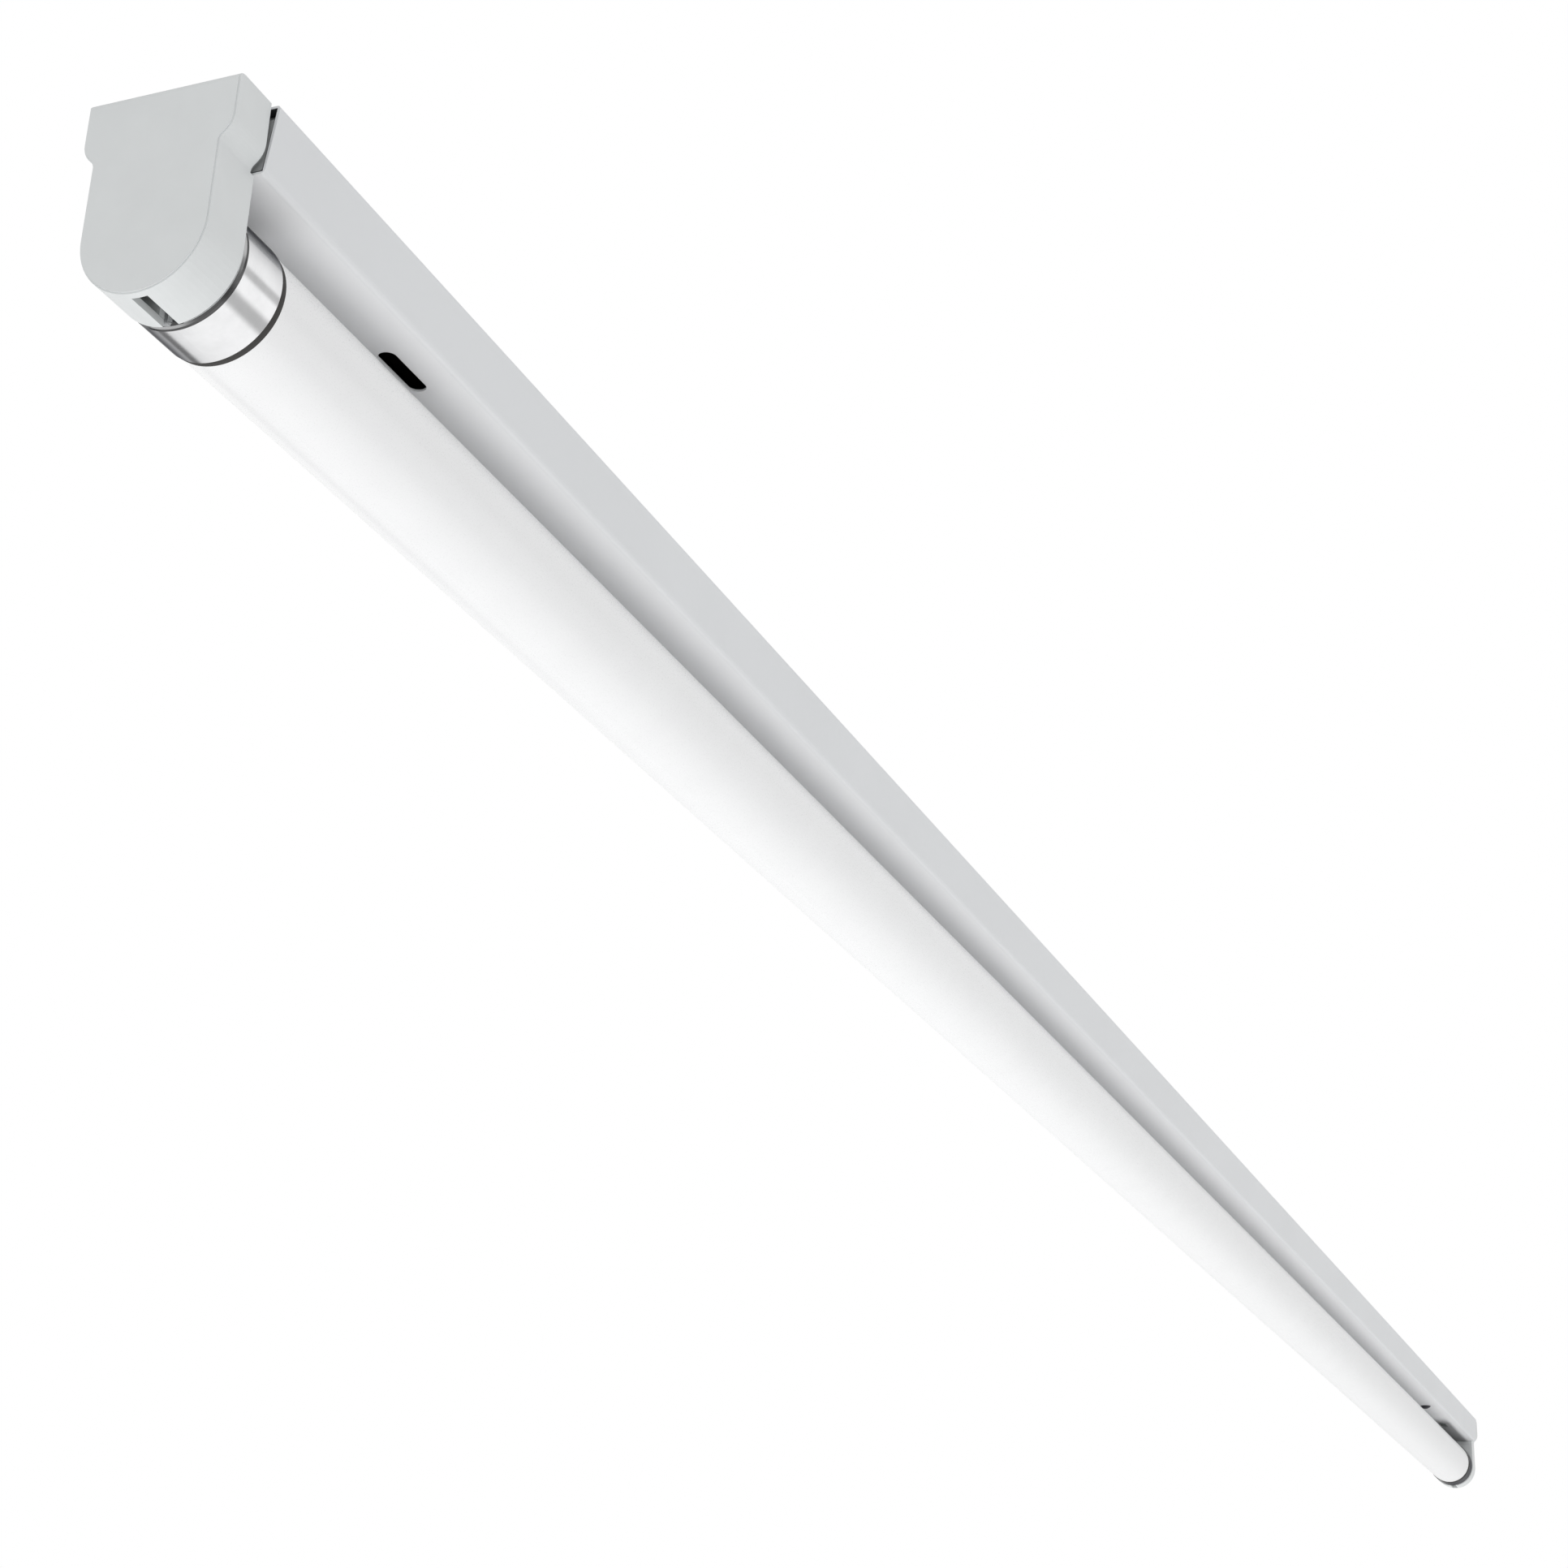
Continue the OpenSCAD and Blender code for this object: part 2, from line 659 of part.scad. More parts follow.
// Ring tag with a crimped barrel for the earth wire
module earth_tag() {
    ring_r = stud_r + 1.8;
    neck_w = 3.6;
    barrel_wall = 0.6;
    barrel_z = tag_t / 2 + wire_r;
    barrel_end = tag_reach + tag_barrel_len;
    color("silver") at_earth(tag_z) difference() {
        union() {
            cylinder(h = tag_t, r = ring_r);
            translate([0, -neck_w / 2, 0]) cube([tag_reach + barrel_wall, neck_w, tag_t]);
            translate([0, 0, barrel_z]) bar_x(tag_reach, barrel_end, wire_r + barrel_wall);
        }
        translate([0, 0, -over]) cylinder(h = tag_t + 2 * over, r = stud_r + seat);
        translate([0, 0, barrel_z]) bar_x(tag_reach + barrel_wall, barrel_end + over, wire_r + snug);
    }
}

module earth_nut() {
    color("silver") at_earth(tag_z + tag_t) difference() {
        cylinder(h = nut_h, r = nut_af / 2 / cos(30), $fn = 6);
        translate([0, 0, -over]) cylinder(h = nut_h + 2 * over, r = stud_r + snug);
    }
}

function unit(v) = v / norm(v);
// Direction of a smooth curve at its point i, midway between the directions of its two neighbours
function heading(pts, i) = let (a = max(i, 1), b = min(i, len(pts) - 2))
    unit(unit(pts[a] - pts[a - 1]) + unit(pts[b + 1] - pts[b]));
// Point at the share t of the way from a to b, which leaves a along da and reaches b along db
function between(a, b, da, db, t) = let (l = norm(b - a), u = 1 - t)
    u * u * (1 + 2 * t) * a + t * t * (3 - 2 * t) * b + l * t * u * (u * da - t * db);
// Smooth curve through a list of points, with a given number of steps between them
function smooth(pts, steps) = let (n = len(pts)) concat(
    [for (i = [0:n - 2], k = [0:steps - 1])
        between(pts[i], pts[i + 1], heading(pts, i), heading(pts, i + 1), k / steps)],
    [pts[n - 1]]);
// Sideways direction of a ring: square to the path and to its own start, never turning back
function frame_at(path, i, last) = let (
    n = len(path),
    d = unit(path[min(i + 1, n - 1)] - path[max(i - 1, 0)]),
    u = unit(last - (last * d) * d)) [u, cross(d, u)];
function frames(path, i, u) = i == len(path) ? [] : let (f = frame_at(path, i, u))
    concat([f], frames(path, i + 1, f[0]));

// Round wire along a path, as one closed skin
module wire(path, r, start) {
    sides = 8;
    n = len(path);
    f = frames(path, 0, start);
    points = [for (i = [0:n - 1], k = [0:sides - 1])
        path[i] + r * (cos(k * 360 / sides) * f[i][0] + sin(k * 360 / sides) * f[i][1])];
    walls = [for (i = [0:n - 2], k = [0:sides - 1]) let (a = i * sides + k, b = i * sides + (k + 1) % sides)
        each [[a, b, a + sides], [b, b + sides, a + sides]]];
    caps = [[for (k = [sides - 1:-1:0]) k], [for (k = [0:sides - 1]) (n - 1) * sides + k]];
    inside_out = concat(walls, caps);
    polyhedron(points, [for (face = inside_out) [for (k = [len(face) - 1:-1:0]) face[k]]]);
}

// Route of a long wire, drawn for the side y > 0: from the terminal block to the left lampholder
function long_route(pole) = let (
    end_x = -half_l,
    block_end = block_x - block_len / 2 + 3,
    wire_x = contact_x + contact_w / 2,
    drop_y = tail_y - contact_t - wire_r - seat) [
    [block_end, pole, pole_z], [block_end - 6, pole, pole_z], [block_end - 14, pole + 1.2, pole_z - 0.8],
    [block_end - 24, wire_side - 0.4, wire_z + 0.2], [block_end - 34, wire_side, wire_z],
    [block_end - 38, wire_side, wire_z], [end_x + tongue_end + 24, wire_side, wire_z],
    [end_x + tongue_end + 20, wire_side, wire_z], [end_x + tongue_end + 13, wire_side, wire_z + 0.4],
    [end_x + tongue_end + 5, wire_side, wire_high], [end_x + cap_depth + 4, wire_side - 0.4, wire_high],
    [end_x + wire_x + 3, drop_y + 0.4, wire_high + 0.2],
    [end_x + wire_x + 1.1, drop_y + 0.1, wire_high - 0.3],
    [end_x + wire_x + 0.2, drop_y, wire_high - 1.9], [end_x + wire_x, drop_y, wire_high - 4],
    [end_x + wire_x, drop_y, axis_z + contact_tail - 2.2]];

module live_wire() {
    color("saddlebrown") wire(smooth(long_route(pole_y(2)), 5), wire_r, [0, 1, 0]);
}

module neutral_wire() {
    color("steelblue") mirror([0, 1, 0]) wire(smooth(long_route(pole_y(2)), 5), wire_r, [0, 1, 0]);
}

module earth_wire() {
    start = block_x - block_len / 2 + 3;
    finish = earth_x + tag_reach + 1.2;
    mouth = earth_x + tag_reach + tag_barrel_len;
    barrel_z = tag_z + tag_t / 2 + wire_r;
    route = [[start, 0, pole_z], [start - 6, 0, pole_z],
        [(start - 6 + mouth + 3) / 2, -earth_side / 2, (pole_z + barrel_z) / 2],
        [mouth + 3, -earth_side, barrel_z], [mouth - 1, -earth_side, barrel_z],
        [finish, -earth_side, barrel_z]];
    color("yellowgreen") wire(smooth(route, 5), wire_r, [0, 1, 0]);
}

// Saddles that hold the long wires against the web
module wire_clips() {
    bore = wire_r + 0.15;
    outer = bore + 0.8;
    foot_in = 4.2;
    floor_z = web_top - wire_z;
    color("white") for (i = [0:wire_clip_count - 1]) {
        x = (i - (wire_clip_count - 1) / 2) * wire_clip_pitch;
        both_sides() translate([x - wire_clip_l / 2, wire_side, wire_z]) difference() {
            union() {
                bar_x(0, wire_clip_l, outer);
                translate([0, -foot_in, floor_z]) cube([wire_clip_l, foot_in + outer, wire_clip_base]);
            }
            bar_x(-over, wire_clip_l + over, bore);
            translate([-over, -2 * outer, floor_z - outer]) cube([wire_clip_l + 2 * over, 4 * outer, outer]);
        }
    }
}

module at_lamp() {
    translate([0, 0, axis_z]) children();
}

// Draws its children at the left end of the lamp, or mirrored at the right end
module lamp_end(side) {
    if (side < 0) {
        translate([-lamp_half, 0, axis_z]) children();
    } else {
        mirror([1, 0, 0]) translate([-lamp_half, 0, axis_z]) children();
    }
}

module lamp_glass() {
    color("white") at_lamp() difference() {
        bar_x(-glass_half, glass_half, glass_r);
        bar_x(-glass_half - over, glass_half + over, glass_in);
    }
}

// Drawn metal cap with a round front edge, open at its face for the insulator
module lamp_cap(side) {
    r = lamp_cap_r;
    w = lamp_cap_wall;
    edge_steps = 4;
    mouth_r = insulator_r + 0.05;
    color("silver") lamp_end(side) turned_x(concat([[0, mouth_r]],
        arc([lamp_edge_r, r - lamp_edge_r], lamp_edge_r, 180, 90, edge_steps),
        [[lamp_cap_len, r], [lamp_cap_len, r - w], [2, r - w], [lamp_cap_face, r - 1],
            [lamp_cap_face, mouth_r]]));
}

// Bead of sealant that closes the end of a lamp cap on the glass
module lamp_sealant(side) {
    color("dimgray") lamp_end(side) turned_x([
        [lamp_cap_len, glass_r + 0.02], [lamp_cap_len, lamp_cap_r - 0.1],
        [lamp_cap_len + bead_w / 2, lamp_cap_r - 0.15], [lamp_cap_len + bead_w, glass_r + 0.02]]);
}

// Plastic disc that carries the pins
module lamp_insulator(side) {
    color("whitesmoke") lamp_end(side) difference() {
        bar_x(seat, insulator_t, insulator_r);
        for (s = [-1, 1]) translate([0, s * pin_pitch / 2, 0]) {
            bar_x(-over, insulator_t + over, pin_r + 0.03);
        }
    }
}

// Two hollow brass pins with rounded tips
module lamp_pins(side) {
    tip = 0.5;
    color("gold") lamp_end(side) for (s = [-1, 1]) translate([0, s * pin_pitch / 2, 0]) {
        turned_x([[-pin_len, 0], [-pin_len, pin_r - tip], [-pin_len + tip * 0.3, pin_r - tip * 0.3],
            [-pin_len + tip, pin_r], [pin_root + insulator_t, pin_r], [pin_root + insulator_t, 0]]);
    }
}

// Board that carries the light chips, along the top of the tube's inside
module light_strip() {
    color("white") at_lamp() translate([-strip_half, -strip_w / 2, strip_low]) {
        cube([2 * strip_half, strip_w, strip_t]);
    }
}

module light_chips() {
    color("khaki") at_lamp() for (i = [0:chip_count - 1]) {
        x = (i - (chip_count - 1) / 2) * chip_pitch;
        translate([x - chip_l / 2, -chip_w / 2, strip_low - chip_t]) cube([chip_l, chip_w, chip_t]);
    }
}

// Silicone between the strip and the glass
module strip_adhesive() {
    color("whitesmoke") at_lamp() along_x(-strip_half, strip_half) intersection() {
        circle(glass_in - 0.02);
        translate([-strip_w / 2 + 0.5, strip_top]) square([strip_w - 1, glass_in]);
    }
}

module driver_board() {
    color("darkgreen") at_lamp() translate([board_x0, -board_half_w, board_z]) {
        cube([board_x1 - board_x0, 2 * board_half_w, board_t]);
    }
}

module on_board(x, y) {
    at_lamp() translate([board_x0 + x, y, board_z + board_t]) children();
}

// Transformer of the driver: a ferrite core with its winding
module driver_coil() {
    core = [12, 11, 1.4];
    winding_h = 4.8;
    on_board(0.38 * driver_len, 0) {
        for (z = [0, core[2] + winding_h]) {
            color("dimgray") translate([-core[0] / 2, -core[1] / 2, z]) cube(core);
        }
        color("goldenrod") translate([0, 0, core[2]]) cylinder(h = winding_h, r = 5);
    }
}

// Capacitors that lie along the board
module driver_capacitors() {
    length = 12;
    r = 4;
    color("black") for (x = [0.13, 0.65] * driver_len) {
        on_board(x, 0) translate([-length / 2, 0, r]) bar_x(0, length, r);
    }
}

module driver_chips() {
    chip = [4, 5, 1.6];
    rear = driver_len - 20;
    color("black") for (x = [rear * 0.31, rear * 0.66, rear, rear + 8]) {
        on_board(x, 4) translate([-chip[0] / 2, -2, 0]) cube(chip);
    }
}

// Short leads from the pins to the strip and to the driver board
module lamp_leads() {
    rear = lamp_half - pin_root - insulator_t;
    lead_r = 0.6;
    pin_y = pin_pitch / 2;
    strip_end = strip_half - 4;
    under_strip = strip_low - lead_r - 0.2;
    on_top = board_z + board_t + lead_r + 0.1;
    color("red") at_lamp() for (s = [-1, 1]) {
        route_left = [[-rear + seat, s * pin_y, 0], [-rear + 2, s * pin_y, 0], [-rear + 7, s * 5.4, 2.4],
            [-rear + 13, s * 4, strip_low - 3.4], [-strip_end - 1, s * 3.6, under_strip],
            [-strip_end + 2, s * 3.6, under_strip]];
        wire(smooth(route_left, 4), lead_r, [0, 1, 0]);
        route_right = [
            [rear - seat, s * pin_y, 0], [rear - 2, s * pin_y, 0],
            [rear - 8, s * (pin_y + 0.4), on_top + 0.4],
            [board_x1 - 3, s * (pin_y + 0.6), on_top], [board_x1 - 7, s * (pin_y + 0.6), on_top]];
        wire(smooth(route_right, 4), lead_r, [0, 1, 0]);
    }
}

spine_channel();
end_cap(-1);  // end_cap_left
end_cap(1);  // end_cap_right
holder_plate(-1);  // holder_plate_left
holder_plate(1);  // holder_plate_right
rotor(-1);  // rotor_left
rotor(1);  // rotor_right
contacts(-1);  // contacts_left
contacts(1);  // contacts_right
cap_screws();
base_plate();
ceiling_clip(-1);  // ceiling_clip_left
ceiling_clip(1);  // ceiling_clip_right
terminal_body();
terminal_inserts();
terminal_screws();
terminal_rivets();
earth_screw();
earth_washer();
earth_tag();
earth_nut();
live_wire();
neutral_wire();
earth_wire();
wire_clips();
lamp_glass();
lamp_cap(-1);  // lamp_cap_left
lamp_cap(1);  // lamp_cap_right
lamp_sealant(-1);  // lamp_sealant_left
lamp_sealant(1);  // lamp_sealant_right
lamp_insulator(-1);  // lamp_insulator_left
lamp_insulator(1);  // lamp_insulator_right
lamp_pins(-1);  // lamp_pins_left
lamp_pins(1);  // lamp_pins_right
light_strip();
light_chips();
strip_adhesive();
driver_board();
driver_coil();
driver_capacitors();
driver_chips();
lamp_leads();
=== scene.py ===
# Slim ceiling batten light with a straight two-pin tube lamp: its finishes, studio light and camera.
# Everything is in metres. X runs along the batten, +Z points up, and z = 0 is the ceiling face.
import json
import math

import bpy
from mathutils import Euler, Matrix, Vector


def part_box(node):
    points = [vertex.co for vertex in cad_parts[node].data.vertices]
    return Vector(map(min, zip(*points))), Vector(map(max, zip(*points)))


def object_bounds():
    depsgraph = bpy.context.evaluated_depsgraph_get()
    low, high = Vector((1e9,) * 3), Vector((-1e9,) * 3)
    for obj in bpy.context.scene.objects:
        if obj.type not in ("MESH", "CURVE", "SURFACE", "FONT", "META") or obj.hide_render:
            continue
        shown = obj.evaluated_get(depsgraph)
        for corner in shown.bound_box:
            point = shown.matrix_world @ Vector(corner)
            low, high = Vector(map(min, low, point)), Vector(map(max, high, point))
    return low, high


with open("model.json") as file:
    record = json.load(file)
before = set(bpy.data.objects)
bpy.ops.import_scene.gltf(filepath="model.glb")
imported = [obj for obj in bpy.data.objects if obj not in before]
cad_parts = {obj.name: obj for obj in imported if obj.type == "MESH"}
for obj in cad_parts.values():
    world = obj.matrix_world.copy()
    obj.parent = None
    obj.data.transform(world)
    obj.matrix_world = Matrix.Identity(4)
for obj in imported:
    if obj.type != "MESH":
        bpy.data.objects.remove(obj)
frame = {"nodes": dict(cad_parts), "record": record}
cad_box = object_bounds()

NODES = frame["nodes"]
MM = 0.001

# The photograph's frame, in pixels, and the camera that was fitted to it
PHOTO_SIDE = 1932
CAMERA_PLACE = (-1.08642, -0.25969, -0.29042)
CAMERA_TURN = (111.9884, -2.3095, -68.5087)
CAMERA_FOCAL_PX = 3289.7
SENSOR = 36.0

# The spine, and the half width of its lower fold, which its own box can't give
SPINE_LOW, SPINE_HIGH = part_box("spine_channel")
FOOT_HALF_W = 15.5 * MM
# How far in from the spine's outer faces the coat of its inside begins
COAT_DEPTH = 0.5 * MM

# The faces of the end caps that look at the spine
END_CAP_DEPTH = 10.3 * MM
CAP_INNER_X = cad_box[1].x - END_CAP_DEPTH

# The studio: even light, and a floor that the camera sees lifted towards white
AMBIENT = 0.79
FLOOR_Z = -3.2
FLOOR_SIZE = 14.0
FLOOR_GLOW = 0.4

# The soft lamps: place, target, size and watts
SOFT_LAMPS = {
    "under_light": ((0.0, 0.3, -1.9), (0.0, 0.0, 0.0), (3.4, 2.4), 21.0),
    "end_light": ((-2.6, 0.4, -0.5), (-0.6, 0.0, 0.0), (1.6, 1.6), 1.9),
}

# How bright the studio is where metal mirrors it: the place along X, 0 at -X and 1 at +X, and the level
MIRRORED_ALONG = [
    (0.0, 0.08),
    (0.33, 0.1),
    (0.38, 0.5),
    (0.6, 0.5),
    (0.64, 0.12),
    (0.76, 0.12),
    (0.81, 1.0),
    (0.95, 1.0),
    (0.99, 0.8),
]
# The narrow flags in it, in turns about X from -Y by way of straight down: the start of each, its full
# stretch from and to, its end, and its level
FLAGS_AROUND = [
    (0.03, 0.066, 0.1, 0.136, 0.5),
    (0.425, 0.45, 0.47, 0.495, 0.3),
    (0.91, 0.934, 0.954, 0.978, 0.55),
]
# Where along X the flags fade out
FLAGS_END = (0.87, 0.92)


def add_node(tree, kind, inputs=None, **settings):
    """A new node with its settings; inputs are values, or outputs of other nodes to link."""
    made = tree.nodes.new(kind)
    for key, value in settings.items():
        setattr(made, key, value)
    for key, value in (inputs or {}).items():
        if isinstance(value, bpy.types.NodeSocket):
            tree.links.new(value, made.inputs[key])
        else:
            made.inputs[key].default_value = value
    return made


class Finish:
    """A Principled material. Its pattern nodes read the piece's own object coordinates, in metres."""

    def __init__(self, name, color, roughness, metallic=0.0, **sockets):
        self.material = bpy.data.materials.new(name)
        self.material.use_nodes = True
        self.material.diffuse_color = (*color, 1)
        self.tree = self.material.node_tree
        self.shader = self.tree.nodes["Principled BSDF"]
        self.set("Base Color", (*color, 1))
        self.set("Roughness", roughness)
        self.set("Metallic", metallic)
        for socket, value in sockets.items():
            self.set(socket.replace("_", " "), value)
        self.place = self.node("ShaderNodeTexCoord").outputs["Object"]

    def set(self, socket, value):
        self.shader.inputs[socket].default_value = value

    def link(self, output, socket):
        self.tree.links.new(output, self.shader.inputs[socket])

    def node(self, kind, inputs=None, **settings):
        return add_node(self.tree, kind, inputs, **settings)

    def calc(self, operation, *values):
        """The result of a sum on values or outputs."""
        return self.node("ShaderNodeMath", dict(enumerate(values)), operation=operation).outputs[0]

    def axis(self, name):
        """One coordinate of the place."""
        return self.node("ShaderNodeSeparateXYZ", {"Vector": self.place}).outputs[name]

    def stretched(self, scale):
        """The place scaled along each axis, for grain that runs one way."""
        return self.node("ShaderNodeMapping", {"Vector": self.place, "Scale": scale}).outputs["Vector"]

    def noise(self, size, detail=2.0, rough=0.5, place=None):
        """Noise of 0 to 1 whose lumps are about size metres across."""
        made = self.node(
            "ShaderNodeTexNoise",
            {"Vector": place or self.place, "Scale": 1 / size, "Detail": detail, "Roughness": rough},
        )
        return made.outputs["Fac"]

    def ramp(self, value, low, high, from_min=0.35, from_max=0.65):
        """A number that goes from low to high as value goes from from_min to from_max."""
        made = self.node(
            "ShaderNodeMapRange",
            {"Value": value, "From Min": from_min, "From Max": from_max, "To Min": low, "To Max": high},
        )
        return made.outputs["Result"]

    def mix(self, value, first, second):
        """A colour that goes from first to second with value."""
        made = self.node("ShaderNodeMix", data_type="RGBA")
        for key, item in ((0, value), (6, first), (7, second)):
            if isinstance(item, bpy.types.NodeSocket):
                self.tree.links.new(item, made.inputs[key])
            else:
                made.inputs[key].default_value = item if key == 0 else (*item, 1)
        return made.outputs[2]

    def bump(self, height, depth):
        """Raises the surface by height times depth metres."""
        return self.node("ShaderNodeBump", {"Height": height, "Distance": depth}).outputs["Normal"]


def tinted(color, factor):
    """The colour made lighter or darker by a factor."""
    return tuple(min(1.0, c * factor) for c in color)


def powder_coat():
    """White polyester coat on the steel: orange peel outside, and on the sheet's inner face a dark grey
    coat painted near black, as painted shade in the closed channel.

    It is painted lighter on the flat underside, as painted light, and has a painted shadow there near the
    far end, which fades in along X and out towards the folds.
    """
    color = (0.80, 0.815, 0.83)
    # Painted light: the flat underside is painted lighter than the walls
    painted_light_web_color = (0.93, 0.935, 0.945)
    # The inner face: its own dark grey coat, darkened to near black as painted shade inside the closed
    # channel
    backing_and_shade = (0.045, 0.047, 0.05)
    # Where the painted shadow on the underside near the far end fades in along X, and out across
    painted_shadow_start = (655 * MM, 675 * MM)
    painted_shadow_side = (9.5 * MM, 12 * MM)
    f = Finish("white_powder_coat", color, 0.42, Specular_IOR_Level=0.45)
    peel = f.noise(1.1 * MM, detail=1.0)
    cloud = f.noise(60 * MM, detail=3.0)
    outside = f.mix(f.ramp(cloud, 0.0, 1.0), tinted(color, 0.985), tinted(color, 1.01))
    x, y, z = (f.axis(name) for name in "XYZ")
    width = f.calc("ABSOLUTE", y)

    # The inside: above the web, between the walls and below the lips, painted near black as painted shade
    lean = (SPINE_HIGH.y - FOOT_HALF_W) / (SPINE_HIGH.z - SPINE_LOW.z)
    wall = f.calc("MULTIPLY_ADD", z, lean, SPINE_HIGH.y - COAT_DEPTH)
    above_web = f.calc("GREATER_THAN", z, SPINE_LOW.z + COAT_DEPTH)
    below_lip = f.calc("LESS_THAN", z, -COAT_DEPTH)
    inside = f.calc("MULTIPLY", above_web, f.calc("LESS_THAN", width, wall))
    inside = f.calc("MULTIPLY", inside, below_lip)

    # The flat underside, painted lighter as painted light, and the painted shadow on it near the far end
    low_down = f.ramp(z, 1.0, 0.0, SPINE_LOW.z + 0.1 * MM, SPINE_LOW.z + 0.6 * MM)
    web = f.calc("MULTIPLY", low_down, f.ramp(width, 1.0, 0.0, FOOT_HALF_W - 1.5 * MM, FOOT_HALF_W))
    outside = f.mix(web, outside, painted_light_web_color)
    strip = f.calc("MULTIPLY", f.ramp(x, 0.0, 1.0, *painted_shadow_start), web)
    strip = f.calc("MULTIPLY", strip, f.ramp(width, 1.0, 0.0, *painted_shadow_side))
    outside = f.mix(strip, outside, tinted(color, 0.34))

    f.link(f.mix(inside, outside, backing_and_shade), "Base Color")
    f.link(f.ramp(peel, 0.36, 0.46), "Roughness")
    f.link(f.bump(peel, 0.012 * MM), "Normal")
    return f.material


def moulded(name, color, roughness=0.4, grain=0.35 * MM, depth=0.006 * MM, painted_tongue_shade=False):
    """Moulded plastic with a fine spark-eroded grain and slight flow marks.

    When asked, it is painted darker inward of the end caps' inner faces, above the spine's underside:
    painted shade where it stands in the groove beside the spine.
    """
    f = Finish(name, color, roughness, Specular_IOR_Level=0.45)
    fine = f.noise(grain, detail=2.0, rough=0.6)
    flow = f.noise(9 * MM, detail=3.0)
    base = f.mix(f.ramp(flow, 0.0, 1.0), tinted(color, 0.985), tinted(color, 1.01))
    if painted_tongue_shade:
        # Painted shade: darker inward of the end caps' inner faces, above the spine's underside, in the
        # groove beside the spine
        inward = f.ramp(f.calc("ABSOLUTE", f.axis("X")), 1.0, 0.0, CAP_INNER_X - 0.05 * MM, CAP_INNER_X)
        above_web = f.ramp(f.axis("Z"), 0.0, 1.0, SPINE_LOW.z - 0.1 * MM, SPINE_LOW.z + 0.1 * MM)
        base = f.mix(f.calc("MULTIPLY", inward, above_web), base, tinted(color, 0.4))
    f.link(base, "Base Color")
    f.link(f.ramp(fine, roughness - 0.05, roughness + 0.06), "Roughness")
    f.link(f.bump(fine, depth), "Normal")
    return f.material


def opal_glass():
    """White coated glass: even and satin, with a faint unevenness of the coat."""
    color = (0.93, 0.935, 0.94)
    gloss = {"Specular_IOR_Level": 0.5, "Coat_Weight": 0.15, "Coat_Roughness": 0.12}
    f = Finish("opal_tube_glass", color, 0.3, **gloss)
    coat = f.noise(14 * MM, detail=4.0)
    frost = f.noise(0.25 * MM, detail=1.0)
    f.link(f.mix(f.ramp(coat, 0.0, 1.0), tinted(color, 0.99), tinted(color, 1.005)), "Base Color")
    f.link(f.ramp(frost, 0.27, 0.34), "Roughness")
    f.link(f.bump(frost, 0.002 * MM), "Normal")
    return f.material


def drawn_aluminium():
    """Bright drawn lamp cap: fine lines round it, and faint handling marks."""
    color = (0.91, 0.912, 0.92)
    f = Finish("drawn_aluminium", color, 0.12, metallic=1.0, Specular_Tint=(0.12, 0.122, 0.13, 1))
    lines = f.noise(0.12 * MM, detail=2.0, place=f.stretched((1.0, 0.02, 0.02)))
    smear = f.noise(4 * MM, detail=4.0)
    f.link(f.mix(f.ramp(smear, 0.0, 1.0), tinted(color, 0.96), tinted(color, 1.02)), "Base Color")
    f.link(f.ramp(lines, 0.08, 0.16), "Roughness")
    f.link(f.bump(lines, 0.001 * MM), "Normal")
    return f.material


def rolled_metal(name, color, roughness, spangle=0.0, size=3 * MM):
    """Sheet or wire metal with rolling lines along X, and zinc spangle where it is galvanised."""
    f = Finish(name, color, roughness, metallic=1.0)
    lines = f.noise(0.2 * MM, detail=3.0, place=f.stretched((0.03, 1.0, 1.0)))
    f.link(f.ramp(lines, roughness - 0.07, roughness + 0.09), "Roughness")
    cells = f.node("ShaderNodeTexVoronoi", {"Vector": f.place, "Scale": 1 / size}, feature="F1")
    shade = f.node("ShaderNodeSeparateColor", {"Color": cells.outputs["Color"]}).outputs["Red"]
    tone = f.ramp(shade, 1 - spangle, 1.0, 0.0, 1.0)
    f.link(f.mix(tone, tinted(color, 0.7), tinted(color, 1.03)), "Base Color")
    f.link(f.bump(lines, 0.003 * MM), "Normal")
    return f.material


def sleeve(name, color, stripe=None):
    """PVC or silicone insulation: soft gloss, print-free, and striped where a second colour is given."""
    stripe_pitch = 9 * MM
    stripe_lean = 2200.0
    f = Finish(name, color, 0.34, Specular_IOR_Level=0.5)
    scuff = f.noise(2.5 * MM, detail=4.0)
    base = f.mix(f.ramp(scuff, 0.0, 1.0), tinted(color, 0.88), tinted(color, 1.05))
    if stripe:
        turn = f.calc("MULTIPLY", f.axis("X"), 2 * math.pi / stripe_pitch)
        side = f.calc("MULTIPLY", f.axis("Y"), stripe_lean)
        wave = f.calc("SINE", f.calc("ADD", turn, side))
        base = f.mix(f.ramp(wave, 0.0, 1.0, 0.1, 0.3), base, stripe)
    f.link(base, "Base Color")
    f.link(f.ramp(scuff, 0.28, 0.42), "Roughness")
    f.link(f.bump(f.noise(0.5 * MM), 0.004 * MM), "Normal")
    return f.material


def cement():
    """Dark bead of cap cement: rough, slightly lumpy."""
    color = (0.05, 0.048, 0.046)
    f = Finish("cap_cement", color, 0.7, Specular_IOR_Level=0.3)
    lumps = f.noise(0.5 * MM, detail=3.0)
    f.link(f.mix(lumps, tinted(color, 0.7), tinted(color, 1.5)), "Base Color")
    f.link(f.ramp(lumps, 0.6, 0.8), "Roughness")
    f.link(f.bump(lumps, 0.05 * MM), "Normal")
    return f.material


